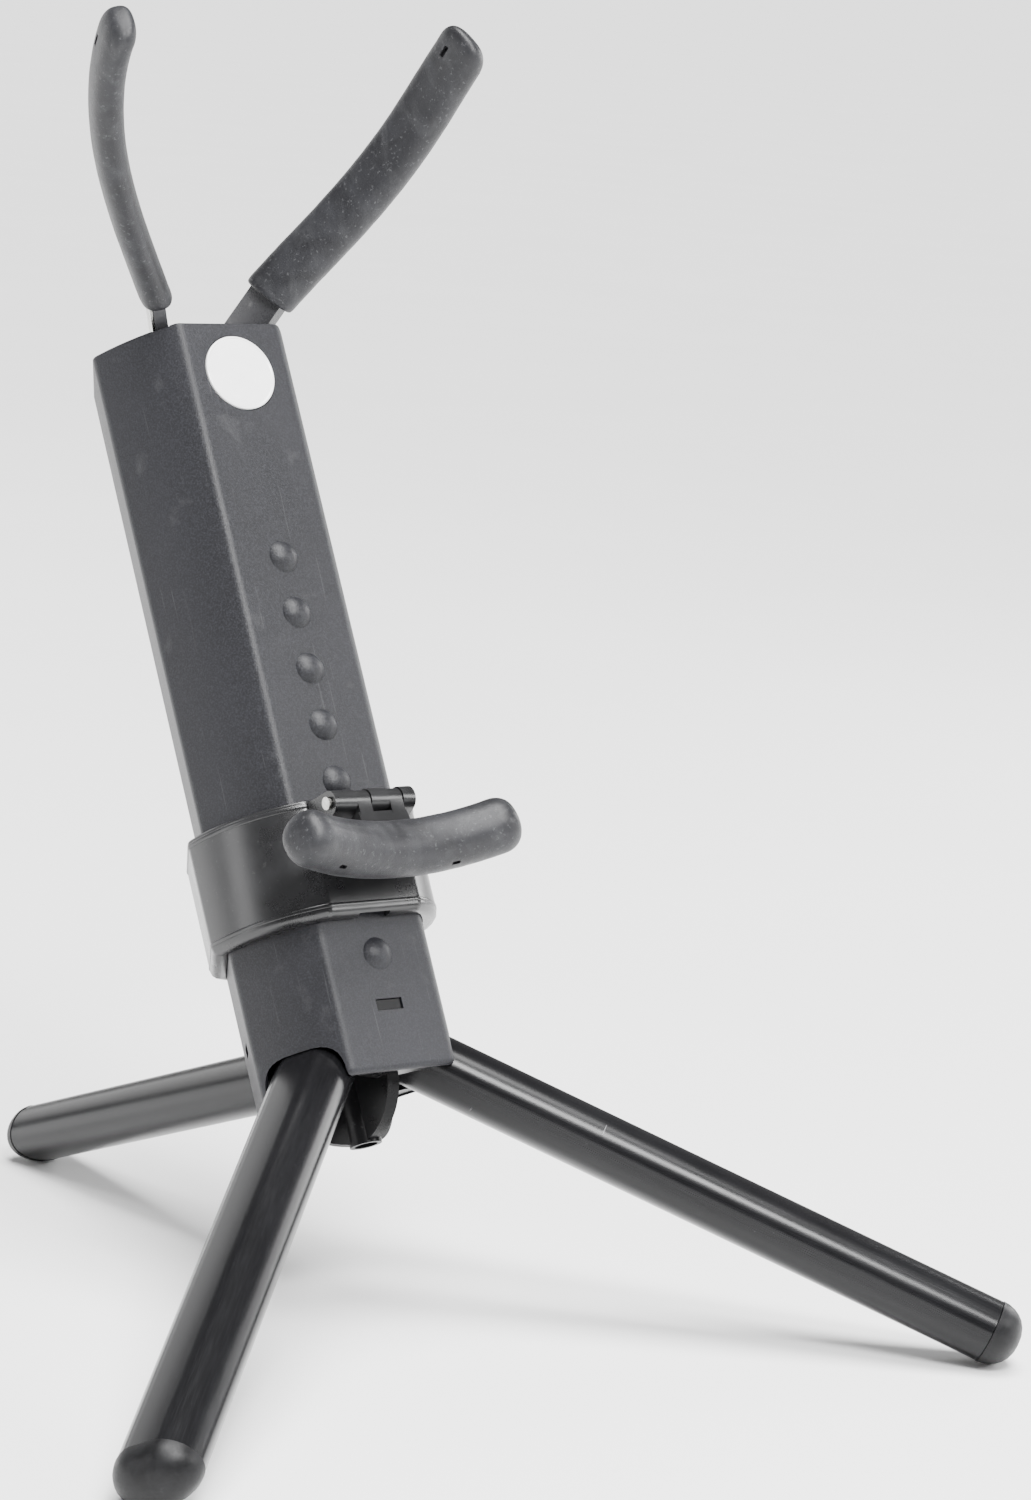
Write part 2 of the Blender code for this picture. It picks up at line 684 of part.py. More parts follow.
def make_collar():
    collar = section_solid("slide_collar", COLLAR_SECTION, 0, COLLAR_FOOT, COLLAR_TOP,
                           COLLAR_CORNER, 3.4 * MM, 1.2 * MM)
    inner, outer = LUG_GAP
    for low, high in ((outer, LUG_ENDS[0]), (-LUG_ENDS[1], -outer), (-inner, inner)):
        add(collar, prism("lug", lug_outline(), low, high, hinge_frame()))
    cut(collar, section_solid("bore", COLUMN_SECTION, COLLAR_BORE_GAP, COLLAR_FOOT - 5 * MM,
                              COLLAR_TOP + 5 * MM, CORNER))
    channel = prism("channel", box_outline(CHANNEL_HALF, 80 * MM), -3 * MM, CHANNEL_OUT,
                    flat_frame(0, COLLAR_FOOT))
    cut(collar, channel)
    cut(collar, prism("pin_bore", disc_outline(HINGE_PIN_R + RUN, 24), -40 * MM, 40 * MM, hinge_frame()))
    return finish(collar, satin_plastic())


def make_collar_spring():
    """Bent steel leaf in the collar's channel that feels the detent bumps."""
    frame = flat_frame(0, (COLLAR_FOOT + COLLAR_TOP) / 2)
    path = []
    steps = 12
    for step in range(steps + 1):
        y = (step / steps - 0.5) * 34 * MM
        bow = 0.25 * MM * math.cos(math.pi * y / (34 * MM))
        path.append((y, SPRING_OUT - bow))
    half, thick = 5.2 * MM, 0.35 * MM
    rings = [[frame @ Vector(point) for point in ((-half, y, z), (half, y, z), (half, y, z - thick),
                                                  (-half, y, z - thick))] for y, z in path]
    return finish(loft("collar_spring", rings), pin_steel())


def make_hinge_pin():
    frame = hinge_frame()
    left, right = LUG_ENDS
    pin = prism("hinge_pin", disc_outline(HINGE_PIN_R, 24), -right - 0.4 * MM, left + 1.0 * MM, frame)
    head_low, head_high = left + GAP, left + 1.5 * MM
    add(pin, prism("head", disc_outline(2.5 * MM, 24), head_low, head_high, frame))
    return finish(pin, pin_steel(), Vector((0, *HINGE)))


def bar_frame():
    """Frame of the cradle bar: X to the right, Y the way its ends curve, Z square to both."""
    curve = Vector((0, -math.cos(BAR_TILT), math.sin(BAR_TILT)))
    return frame_from(Vector((0, *BAR_CENTRE)), Vector((1, 0, 0)), curve)


def bar_rings(half_length, section, rounded, steps=24):
    """Section swept along the bar's arc, with domed ends when rounded."""
    frame = bar_frame()
    end_angle = half_length / BAR_RADIUS
    stations = [(end_angle * (2 * step / steps - 1), 0.0, 1.0) for step in range(steps + 1)]
    if rounded:
        caps = []
        for step in range(1, 6):
            angle = math.pi / 2 * step / 5.35
            caps.append((BAR_DOME * math.sin(angle), math.cos(angle) ** 0.62))
        start = [(-end_angle, -reach, scale) for reach, scale in reversed(caps)]
        end = [(end_angle, reach, scale) for reach, scale in caps]
        stations = start + stations + end
    rings = []
    for angle, reach, scale in stations:
        tangent = Vector((math.cos(angle), math.sin(angle), 0))
        normal = Vector((-math.sin(angle), math.cos(angle), 0))
        middle = Vector((0, BAR_RADIUS, 0)) - normal * BAR_RADIUS + tangent * reach
        rings.append([frame @ (middle + normal * x * scale + Vector((0, 0, y * scale)))
                      for x, y in section])
    return rings


def web_frame():
    """Frame on the hinge axis with X towards the bar and Z to the left."""
    towards = Vector((0, BAR_CENTRE[0] - HINGE[0], BAR_CENTRE[1] - HINGE[1]))
    x_axis = towards.normalized()
    return frame_from(Vector((0, *HINGE)), x_axis, Vector((-1, 0, 0)).cross(x_axis)), towards.length


def web_solid(name, extra, start):
    frame, length = web_frame()
    half = WEB_THICK / 2 + extra
    outline = [(start, -half), (length, -half), (length, half), (start, half)]
    return prism(name, outline, -WEB_HALF - extra, WEB_HALF + extra, frame)


def make_cradle():
    frame, length = web_frame()
    pivot = Vector((0, *HINGE))
    core = loft("cradle_core", bar_rings(BAR_HALF - 6 * MM, oval(*CORE_HALF, 4.0, 16), False))
    add(core, web_solid("web", 0, BARREL_R + 1.4 * MM))
    for sign in (1, -1):
        low, high = sorted((sign * (LUG_GAP[0] + GAP), sign * (LUG_GAP[1] - GAP)))
        arm = [(0, -BARREL_R + 0.6 * MM), (BARREL_R + 3 * MM, -WEB_THICK / 2),
               (BARREL_R + 3 * MM, WEB_THICK / 2), (0, BARREL_R - 0.6 * MM)]
        add(core, prism("knuckle_arm", arm, low, high, frame))
        add(core, prism("knuckle", disc_outline(BARREL_R - 0.5 * MM), low, high, frame))
    cut(core, prism("bore", disc_outline(HINGE_PIN_R + RUN, 24), -40 * MM, 40 * MM, frame))
    finish(core, satin_plastic(), pivot)

    pad = loft("cradle_pad", bar_rings(BAR_HALF, oval(*PAD_HALF, 2.2, 28), True))
    section = oval(CORE_HALF[0] + GAP, CORE_HALF[1] + GAP, 4.0, 16)
    pocket = loft("pocket", bar_rings(BAR_HALF - 6 * MM + GAP, section, False))
    add(pocket, web_solid("web", GAP, BARREL_R))
    cut(pad, pocket)
    finish(pad, soft_rubber(), pivot, 50)


# ---------------------------------------------------------------- assembly
def build():
    for obj in list(bpy.data.objects):
        bpy.data.objects.remove(obj)
    make_column()
    make_badge()
    make_hub()
    for name in LEGS:
        make_leg(name)
    make_head()
    for side in ARMS:
        make_arm(side)
    make_collar()
    make_collar_spring()
    make_hinge_pin()
    make_cradle()


build()
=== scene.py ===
"""Looks of the folding saxophone stand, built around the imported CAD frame.

Metres, +Z up.  The pieces made here are lofted in the column frame, where Z runs up the column
and -Y is its front, and are then leaned back like the CAD nodes.  Three of them are the padded
pieces, which stand for soft CAD solids; the others are the badge and the collar's trim.
"""
import math

import bmesh
import bpy
from mathutils import Matrix, Vector, noise


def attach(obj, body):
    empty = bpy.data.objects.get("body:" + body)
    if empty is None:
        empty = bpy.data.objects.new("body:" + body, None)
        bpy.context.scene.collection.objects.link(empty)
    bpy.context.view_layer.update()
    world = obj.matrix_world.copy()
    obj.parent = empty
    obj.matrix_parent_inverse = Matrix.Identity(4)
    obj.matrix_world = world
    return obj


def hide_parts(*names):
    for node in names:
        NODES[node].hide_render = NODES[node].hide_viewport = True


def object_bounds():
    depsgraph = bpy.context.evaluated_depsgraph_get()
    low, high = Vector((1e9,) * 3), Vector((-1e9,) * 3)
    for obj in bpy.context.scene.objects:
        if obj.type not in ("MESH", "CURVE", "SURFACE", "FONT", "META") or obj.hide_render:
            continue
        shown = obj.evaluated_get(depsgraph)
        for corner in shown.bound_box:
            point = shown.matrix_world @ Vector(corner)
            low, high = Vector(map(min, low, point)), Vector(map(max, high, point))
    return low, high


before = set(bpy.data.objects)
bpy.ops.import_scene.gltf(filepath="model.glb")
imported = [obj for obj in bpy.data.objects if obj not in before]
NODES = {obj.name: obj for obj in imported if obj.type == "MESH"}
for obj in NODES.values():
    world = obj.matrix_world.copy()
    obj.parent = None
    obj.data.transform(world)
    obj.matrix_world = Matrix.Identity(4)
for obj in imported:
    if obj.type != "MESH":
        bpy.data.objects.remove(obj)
CAD_LOW, CAD_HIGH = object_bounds()

MM = 0.001
# column frame to world
LEANED = (Matrix.Translation((0, -26.003 * MM, 86.732 * MM))
          @ Matrix.Rotation(-math.radians(29.6487), 4, "X"))
FLAT_APOTHEM = 36.2 * MM
# collar's outside: apothem and half width of its flats, and bulge of its lobes
COLLAR_SECTION = (42.0 * MM, 20.6 * MM, 8.2 * MM)
# azimuths and opening angles in degrees
LEGS = {"left": -60, "right": 60, "rear": 180}
LEG_OPEN = {"left": 51.32, "right": 51.32, "rear": 98.98}
LEG_PIVOT_R, LEG_PIVOT_Z = 19.0 * MM, 11.2 * MM
ARMS = {"left": -1, "right": 1}


# ---------------------------------------------------------------- frames and outlines
def direction(azimuth):
    """Level unit vector; 0 degrees is the front and 90 is the right."""
    angle = math.radians(azimuth)
    return Vector((math.sin(angle), -math.cos(angle), 0))


def frame_from(origin, x_axis, y_axis):
    """Right-handed frame from an origin and two square unit axes."""
    turn = Matrix((x_axis, y_axis, x_axis.cross(y_axis))).transposed().to_4x4()
    return Matrix.Translation(origin) @ turn


def flat_frame(azimuth, height):
    """On an outer flat of the column: X along the flat, Y up the column, Z outward."""
    outward = direction(azimuth)
    across = Vector((0, 0, 1)).cross(outward)
    return frame_from(outward * FLAT_APOTHEM + Vector((0, 0, height)), across, Vector((0, 0, 1)))


def leg_frame(name):
    """On an opened leg: X across, Y out of the outer flat, Z from pivot to foot."""
    azimuth = LEGS[name]
    outward = direction(azimuth)
    swing = Matrix.Rotation(-math.radians(LEG_OPEN[name]), 3, Vector((0, 0, 1)).cross(outward))
    along = swing @ Vector((0, 0, -1))
    pivot = outward * LEG_PIVOT_R + Vector((0, 0, LEG_PIVOT_Z))
    return frame_from(pivot, (swing @ outward).cross(along), swing @ outward)


def oval(half_x, half_y, power, steps):
    """Superellipse outline: a power of 2 is an ellipse, and higher is squarer."""
    points = []
    for step in range(steps):
        angle = 2 * math.pi * step / steps
        cosine, sine = math.cos(angle), math.sin(angle)
        points.append((half_x * math.copysign(abs(cosine) ** (2 / power), cosine),
                       half_y * math.copysign(abs(sine) ** (2 / power), sine)))
    return points


def arc(centre, radius, start, end, steps):
    """Points from one angle to another, both included."""
    return [centre + radius * Vector((math.cos(start + (end - start) * i / steps),
                                      math.sin(start + (end - start) * i / steps)))
            for i in range(steps + 1)]


def section_outline(section, offset, corner, fillet_steps=6, lobe_steps=16):
    """Three flats joined by three round lobes, moved outward by offset."""
    apothem, half, bulge = section
    slant = math.radians(60)
    chord_x = apothem * math.cos(slant) + half * math.sin(slant)
    chord_y = apothem * math.sin(slant) - half * math.cos(slant)
    radius = (chord_y ** 2 + bulge ** 2) / (2 * bulge)
    lobe = Vector((chord_x + bulge - radius, 0))
    normal = Vector((math.cos(slant), math.sin(slant)))
    along = Vector((-normal.y, normal.x))
    foot = normal * (apothem + offset - corner)
    lead = (foot - lobe).dot(along)
    root = math.sqrt(lead ** 2 - (foot - lobe).length_squared + (radius + offset - corner) ** 2)
    fillet = foot - along * (lead + root)
    tangent = math.atan2(fillet.y, fillet.x - lobe.x)
    points = arc(Vector((fillet.x, -fillet.y)), corner, -slant, -tangent, fillet_steps)
    points += arc(lobe, radius + offset, -tangent, tangent, lobe_steps)[1:-1]
    points += arc(fillet, corner, tangent, slant, fillet_steps)
    spun = []
    for azimuth in LEGS.values():
        spin = Matrix.Rotation(math.radians(azimuth - 90), 2)
        spun += [spin @ point for point in points]
    return spun


# ---------------------------------------------------------------- meshes
def new_piece(name, rings, surface, body=None, loop_rings=False, sharp=40):
    """Loft through rings of column-frame points, leaned, shaded smooth and put on its body.

    The loft closes on itself where loop_rings is set, and is capped at both ends otherwise.
    """
    bm = bmesh.new()
    loops = [[bm.verts.new(LEANED @ Vector(point)) for point in ring] for ring in rings]
    count = len(loops[0])
    pairs = list(zip(loops, loops[1:]))
    if loop_rings:
        pairs.append((loops[-1], loops[0]))
    for below, above in pairs:
        for i in range(count):
            j = (i + 1) % count
            bm.faces.new((below[i], below[j], above[j], above[i]))
    if not loop_rings:
        bm.faces.new(loops[0])
        bm.faces.new(loops[-1])
    bmesh.ops.recalc_face_normals(bm, faces=bm.faces)
    mesh = bpy.data.meshes.new(name)
    bm.to_mesh(mesh)
    bm.free()
    piece = bpy.data.objects.new(name, mesh)
    bpy.context.scene.collection.objects.link(piece)
    dress(piece, surface, sharp)
    if body:
        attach(piece, body)
    return piece


def dress(piece, surface, sharp):
    """Give a piece its material, smooth faces and sharp edges above an angle in degrees."""
    piece.data.materials.clear()
    piece.data.materials.append(surface)
    piece.data.shade_smooth()
    piece.data.set_sharp_from_angle(angle=math.radians(sharp))


def carve(piece, tools, sharp):
    """Exact difference of each tool, applied; the tools are used up."""
    surface = piece.data.materials[0]
    for tool in tools:
        modifier = piece.modifiers.new("carve", "BOOLEAN")
        modifier.operation = "DIFFERENCE"
        modifier.solver = "EXACT"
        modifier.object = tool
        bpy.context.view_layer.update()
        graph = bpy.context.evaluated_depsgraph_get()
        result = bpy.data.meshes.new_from_object(piece.evaluated_get(graph))
        piece.modifiers.clear()
        piece.data = result
        bpy.data.objects.remove(tool)
    dress(piece, surface, sharp)


def cutter(rings):
    """Solid that carve takes away; its material never shows."""
    return new_piece("cutter", rings, NODES["badge"].data.materials[0])


def slot_tool(place, half, low, high):
    """Rounded-rectangle cutter along the Z of a column-frame place."""
    outline = oval(*half, 6, 24)
    return cutter([[place @ Vector((x, y, z)) for x, y in outline] for z in (low, high)])


# ---------------------------------------------------------------- materials
class Surface:
    """A node material that is put together from noise layers, in the frame given by axes."""

    def __init__(self, name, axes=None):
        self.material = bpy.data.materials.new(name)
        self.material.use_nodes = True
        self.tree = self.material.node_tree
        self.shader = self.tree.nodes["Principled BSDF"]
        self.where = self.node("ShaderNodeTexCoord").outputs["Object"]
        self.normal = None
        if axes is not None:
            mapping = self.node("ShaderNodeMapping")
            mapping.vector_type = "TEXTURE"
            mapping.inputs["Location"].default_value = axes.to_translation()
            mapping.inputs["Rotation"].default_value = axes.to_euler()
            self.link(self.where, mapping.inputs["Vector"])
            self.where = mapping.outputs["Vector"]

    def node(self, kind):
        return self.tree.nodes.new(kind)

    def link(self, source, target):
        self.tree.links.new(source, target)

    def stretched(self, scale):
        """Coordinates that draw a pattern out along the axes of small scale."""
        mapping = self.node("ShaderNodeMapping")
        mapping.inputs["Scale"].default_value = scale
        self.link(self.where, mapping.inputs["Vector"])
        return mapping.outputs["Vector"]

    def noise(self, scale, detail=3.0, rough=0.55, stretch=None, distortion=0.0):
        made = self.node("ShaderNodeTexNoise")
        made.inputs["Scale"].default_value = scale
        made.inputs["Detail"].default_value = detail
        made.inputs["Roughness"].default_value = rough
        made.inputs["Distortion"].default_value = distortion
        self.link(self.stretched(stretch) if stretch else self.where, made.inputs["Vector"])
        return made.outputs["Fac"]

    def cells(self, scale):
        made = self.node("ShaderNodeTexVoronoi")
        made.inputs["Scale"].default_value = scale
        self.link(self.where, made.inputs["Vector"])
        return made.outputs["Distance"]

    def spread(self, source, low, high, to_low=0.0, to_high=1.0):
        """Map low..high to to_low..to_high, held at both ends."""
        made = self.node("ShaderNodeMapRange")
        limits = {"From Min": low, "From Max": high, "To Min": to_low, "To Max": to_high}
        for key, value in limits.items():
            made.inputs[key].default_value = value
        self.link(source, made.inputs["Value"])
        return made.outputs["Result"]

    def math(self, operation, first, second):
        made = self.node("ShaderNodeMath")
        made.operation = operation
        for socket, value in zip(made.inputs, (first, second)):
            if isinstance(value, (int, float)):
                socket.default_value = value
            else:
                self.link(value, socket)
        return made.outputs["Value"]

    def mix(self, share, first, second):
        """Colour that goes from first to second as share goes from 0 to 1."""
        made = self.node("ShaderNodeMix")
        made.data_type = "RGBA"
        self.link(share, made.inputs["Factor"])
        for key, value in (("A", first), ("B", second)):
            socket = next(s for s in made.inputs if s.name == key and s.type == "RGBA")
            if isinstance(value, tuple):
                socket.default_value = (*value, 1)
            else:
                self.link(value, socket)
        return next(s for s in made.outputs if s.type == "RGBA")

    def bump(self, height, strength, distance):
        """Add a layer of bump on top of those before it."""
        made = self.node("ShaderNodeBump")
        made.inputs["Strength"].default_value = strength
        made.inputs["Distance"].default_value = distance
        self.link(height, made.inputs["Height"])
        if self.normal is not None:
            self.link(self.normal, made.inputs["Normal"])
        self.normal = made.outputs["Normal"]

    def done(self, colour, roughness, **values):
        """Join the layers to the shader; values are constants on its own sockets."""
        self.link(colour, self.shader.inputs["Base Color"])
        self.link(roughness, self.shader.inputs["Roughness"])
        if self.normal is not None:
            self.link(self.normal, self.shader.inputs["Normal"])
        for key, value in values.items():
            self.shader.inputs[key.replace("_", " ")].default_value = value
        return self.material


def column_plastic():
    """Grained dark grey moulding: fine texture, cloudy tone, dust, hair scratches."""
    made = Surface("column_plastic_look", LEANED)
    grain = made.noise(1500, 2, 0.6)
    pits = made.cells(1900)
    cloud = made.noise(14, 4, 0.55, (1, 1, 0.45))
    dust = made.noise(60, 5, 0.65)
    scratch = made.noise(900, 1, 0.5, (1, 1, 0.035), 0.3)
    tone = made.mix(made.spread(cloud, 0.35, 0.68), (0.0040, 0.0040, 0.0055), (0.0078, 0.0078, 0.0102))
    tone = made.mix(made.spread(grain, 0.42, 0.70, 0.0, 0.42), tone, (0.029, 0.030, 0.037))
    tone = made.mix(made.spread(dust, 0.60, 0.78, 0.0, 0.22), tone, (0.075, 0.075, 0.078))
    tone = made.mix(made.spread(scratch, 0.71, 0.78, 0.0, 0.10), tone, (0.14, 0.14, 0.145))
    rough = made.math("ADD", made.spread(cloud, 0.3, 0.7, 0.42, 0.50),
                      made.spread(grain, 0.35, 0.7, 0.0, 0.10))
    made.bump(grain, 0.65, 0.20 * MM)
    made.bump(pits, 0.25, 0.10 * MM)
    return made.done(tone, rough, Specular_IOR_Level=0.34)


def satin_plastic(name, base=0.005, grain_bump=0.05, dust_share=0.08, gloss=0.55):
    """Satin black moulding with a faint grain, a little dust and fine scratches."""
    made = Surface(name, LEANED)
    grain = made.noise(1100, 2, 0.5)
    cloud = made.noise(35, 4, 0.6)
    dust = made.noise(210, 4, 0.7)
    scratch = made.noise(700, 1, 0.5, (0.05, 1, 1), 0.2)
    tone = made.mix(made.spread(cloud, 0.35, 0.7), (base, base, base * 1.08),
                    (base * 1.8, base * 1.8, base * 1.95))
    tone = made.mix(made.spread(dust, 0.60, 0.80, 0.0, dust_share), tone, (0.16, 0.16, 0.16))
    tone = made.mix(made.spread(scratch, 0.70, 0.80, 0.0, 0.15), tone, (0.12, 0.12, 0.12))
    rough = made.math("ADD", made.spread(cloud, 0.3, 0.7, 0.24, 0.33),
                      made.spread(grain, 0.4, 0.7, 0.0, 0.03))
    made.bump(grain, grain_bump, 0.08 * MM)
    return made.done(tone, rough, Specular_IOR_Level=gloss)


def leg_aluminium(name):
    """Black anodised tube: hair-fine drawing lines along the leg, tiny nicks, dust specks."""
    made = Surface("leg_aluminium_" + name, LEANED @ leg_frame(name))
    lines = made.noise(3800, 1, 0.5, (1, 1, 0.02))
    cloud = made.noise(26, 3, 0.5, (1, 1, 0.4))
    specks = made.noise(900, 3, 0.75)
    nicks = made.noise(420, 1, 0.5, (0.10, 0.10, 1), 0.6)
    tone = made.mix(made.spread(cloud, 0.35, 0.7), (0.0035, 0.0035, 0.004), (0.0065, 0.0065, 0.0072))
    tone = made.mix(made.spread(lines, 0.45, 0.75, 0.0, 0.30), tone, (0.016, 0.016, 0.018))
    tone = made.mix(made.spread(specks, 0.72, 0.79, 0.0, 0.55), tone, (0.20, 0.20, 0.21))
    tone = made.mix(made.spread(nicks, 0.81, 0.84, 0.0, 0.50), tone, (0.28, 0.28, 0.29))
    rough = made.math("ADD", made.spread(cloud, 0.3, 0.7, 0.21, 0.25),
                      made.spread(lines, 0.4, 0.7, 0.0, 0.03))
    made.bump(lines, 0.05, 0.03 * MM)
    made.bump(specks, 0.05, 0.05 * MM)
    return made.done(tone, rough, Specular_IOR_Level=0.22)


def soft_rubber():
    """Charcoal foam rubber with a chalky bloom, rubbed patches and fine pores."""
    made = Surface("soft_rubber_look", LEANED)
    pores = made.noise(1700, 3, 0.65)
    bloom = made.noise(55, 5, 0.62, None, 0.8)
    streak = made.noise(150, 4, 0.6, (1, 1, 0.3), 0.5)
    chips = made.noise(620, 3, 0.7)
    tone = made.mix(made.spread(bloom, 0.36, 0.66), (0.0045, 0.0045, 0.0060), (0.0115, 0.0118, 0.0145))
    tone = made.mix(made.spread(streak, 0.50, 0.72, 0.0, 0.26), tone, (0.055, 0.056, 0.059))
    tone = made.mix(made.spread(chips, 0.60, 0.68, 0.0, 0.36), tone, (0.095, 0.096, 0.100))
    tone = made.mix(made.spread(pores, 0.54, 0.68, 0.0, 0.70), tone, (0.007, 0.007, 0.008))
    rough = made.math("ADD", made.spread(bloom, 0.3, 0.7, 0.38, 0.50),
                      made.spread(pores, 0.4, 0.7, 0.0, 0.10))
    made.bump(pores, 0.50, 0.20 * MM)
    made.bump(streak, 0.15, 0.25 * MM)
    return made.done(tone, rough, Specular_IOR_Level=0.38, Sheen_Weight=0.03, Sheen_Roughness=0.5)


def foot_rubber():
    """Black moulded rubber with fine pores, scuffs and a little dust."""
    made = Surface("foot_rubber_look")
    pores = made.noise(1300, 3, 0.6)
    scuff = made.noise(130, 5, 0.65, None, 0.6)
    tone = made.mix(made.spread(scuff, 0.40, 0.72), (0.004, 0.004, 0.0045), (0.010, 0.010, 0.011))
    tone = made.mix(made.spread(scuff, 0.66, 0.80, 0.0, 0.30), tone, (0.05, 0.05, 0.052))
    rough = made.math("ADD", made.spread(scuff, 0.3, 0.7, 0.36, 0.48),
                      made.spread(pores, 0.4, 0.7, 0.0, 0.08))
    made.bump(pores, 0.22, 0.12 * MM)
    made.bump(scuff, 0.12, 0.3 * MM)
    return made.done(tone, rough, Specular_IOR_Level=0.20)


def pin_steel():
    """Bright steel with fine turning lines and light tarnish."""
    made = Surface("pin_steel_look", LEANED)
    lines = made.noise(2400, 2, 0.5, (0.05, 1, 1))
    tarnish = made.noise(260, 4, 0.6)
    tone = made.mix(made.spread(tarnish, 0.40, 0.75), (0.58, 0.58, 0.56), (0.34, 0.33, 0.31))
    rough = made.math("ADD", made.spread(tarnish, 0.3, 0.7, 0.18, 0.34),
                      made.spread(lines, 0.4, 0.7, 0.0, 0.08))
    made.bump(lines, 0.15, 0.05 * MM)
    return made.done(tone, rough, Metallic=1.0)


def badge_white():
    """Glossy white disc with very faint print-like mottling and handling marks."""
    made = Surface("badge_white_look", LEANED)
    cloud = made.noise(120, 4, 0.6)
    marks = made.noise(700, 2, 0.6, (0.2, 1, 1))
    tone = made.mix(made.spread(cloud, 0.35, 0.7), (0.93, 0.93, 0.93), (0.88, 0.88, 0.882))
    tone = made.mix(made.spread(marks, 0.68, 0.8, 0.0, 0.15), tone, (0.70, 0.70, 0.70))
    rough = made.spread(cloud, 0.3, 0.7, 0.16, 0.24)
    made.bump(cloud, 0.05, 0.2 * MM)
    return made.done(tone, rough, Coat_Weight=0.6, Coat_Roughness=0.08)


def floor_paint():
    """Pale matt floor with a hardly visible cloud."""
    made = Surface("floor_paint")
    cloud = made.noise(3.0, 3, 0.5)
    fine = made.noise(220, 2, 0.5)
    tone = made.mix(made.spread(cloud, 0.3, 0.7), (0.86, 0.86, 0.86), (0.88, 0.88, 0.88))
    rough = made.spread(fine, 0.3, 0.7, 0.82, 0.90)
    made.bump(fine, 0.02, 0.2 * MM)
    return made.done(tone, rough, Specular_IOR_Level=0.15)


LOOK = {
    "column": column_plastic(),
    "satin": satin_plastic("satin_plastic_look"),
    "collar": satin_plastic("collar_plastic_look", 0.007, 0.04, 0.06, 0.55),
    "hub": satin_plastic("hub_plastic_look", 0.003, 0.08, 0.08, 0.10),
    "dusty": satin_plastic("dusty_plastic_look", 0.030, 0.3, 0.45),
    "rubber": soft_rubber(),
    "foot": foot_rubber(),
    "steel": pin_steel(),
    "white": badge_white(),
}
NODE_LOOK = {"column_shell": "column", "badge": "white", "hub_yoke": "hub", "arm_head": "satin",
             "slide_collar": "collar", "collar_spring": "steel", "hinge_pin": "steel",
             "cradle_core": "satin", "cradle_pad": "rubber"}
for name in LEGS:
    LOOK["leg_" + name] = leg_aluminium(name)
    NODE_LOOK.update({"leg_tube_" + name: "leg_" + name, "leg_knuckle_" + name: "satin",
                      "foot_cap_" + name: "foot", "leg_pin_" + name: "steel"})
for side in ARMS:
    NODE_LOOK.update({"arm_blade_" + side: "dusty", "arm_leaf_" + side: "steel",
                      "arm_sleeve_" + side: "rubber", "arm_pin_" + side: "steel"})


WELD_GAP = 2e-6
CREASE = math.radians(32)


def smoothing_tree():
    """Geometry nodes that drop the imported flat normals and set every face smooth."""
    tree = bpy.data.node_groups.new("smoothing", "GeometryNodeTree")
    for way in ("INPUT", "OUTPUT"):
        tree.interface.new_socket("Geometry", in_out=way, socket_type="NodeSocketGeometry")
    drop = tree.nodes.new("GeometryNodeRemoveAttribute")
    drop.inputs["Name"].default_value = "custom_normal"
    smooth = tree.nodes.new("GeometryNodeSetShadeSmooth")
    tree.links.new(tree.nodes.new("NodeGroupInput").outputs[0], drop.inputs["Geometry"])
    tree.links.new(drop.outputs[0], smooth.inputs["Geometry"])
    tree.links.new(smooth.outputs[0], tree.nodes.new("NodeGroupOutput").inputs[0])
    return tree


SMOOTHING = smoothing_tree()


def smooth_node(node):
    """Smooth shading of a CAD node through modifiers alone; its mesh stays as packed."""
    node.modifiers.new("smoothing", "NODES").node_group = SMOOTHING
    weld = node.modifiers.new("weld", "WELD")
    weld.merge_threshold = WELD_GAP
    split = node.modifiers.new("split", "EDGE_SPLIT")
    split.split_angle = CREASE
    weighted = node.modifiers.new("weighted", "WEIGHTED_NORMAL")
    weighted.weight = 100


for name, look in NODE_LOOK.items():
    smooth_node(NODES[name])
    for place in NODES[name].material_slots:
        place.material = LOOK[look]


# ---------------------------------------------------------------- arm sleeves
SKIN_POINTS = 72
SKIN_SHARP = 50
CAP_POWER = 0.62
ARM_PLANE = 8 * MM
ARM_SLOPE = math.radians(35.4)
SLEEVE_START = (39.0 * MM, 314.0 * MM)
SLEEVE_LENGTH = 131 * MM
SLEEVE_HALF = (11.4 * MM, 6.3 * MM)
SLEEVE_TIP = 0.36 * 2 * SLEEVE_HALF[0]
SLEEVE_STEPS = 96
# reach into the sleeve in millimetres, and share of the full outline
SLEEVE_MOUTH = ((0.0, 0.55), (0.0, 0.86), (0.12, 0.92), (0.5, 0.965), (1.1, 0.99))
POCKET_HALF = (8.55 * MM, 2.8 * MM)
POCKET_STOP = 22 * MM
SLEEVE_SLOT_HALF = (1.1 * MM, 2.4 * MM)
SLEEVE_SLOT_SETBACK = 4.0 * MM
SLEEVE_SLOT_ASIDE = 3.2 * MM
SLEEVE_SLOT_DEPTHS = (3.6 * MM, 9 * MM)


def arm_frame(side):
    """Frame of an arm's plane: X sideways out of the column, Y up, Z away from the column."""
    sideways = direction(30 * ARMS[side])
    outward = direction(120 * ARMS[side])
    turn = Matrix((sideways, Vector((0, 0, 1)), outward)).transposed().to_4x4()
    return Matrix.Translation(outward * ARM_PLANE) @ turn


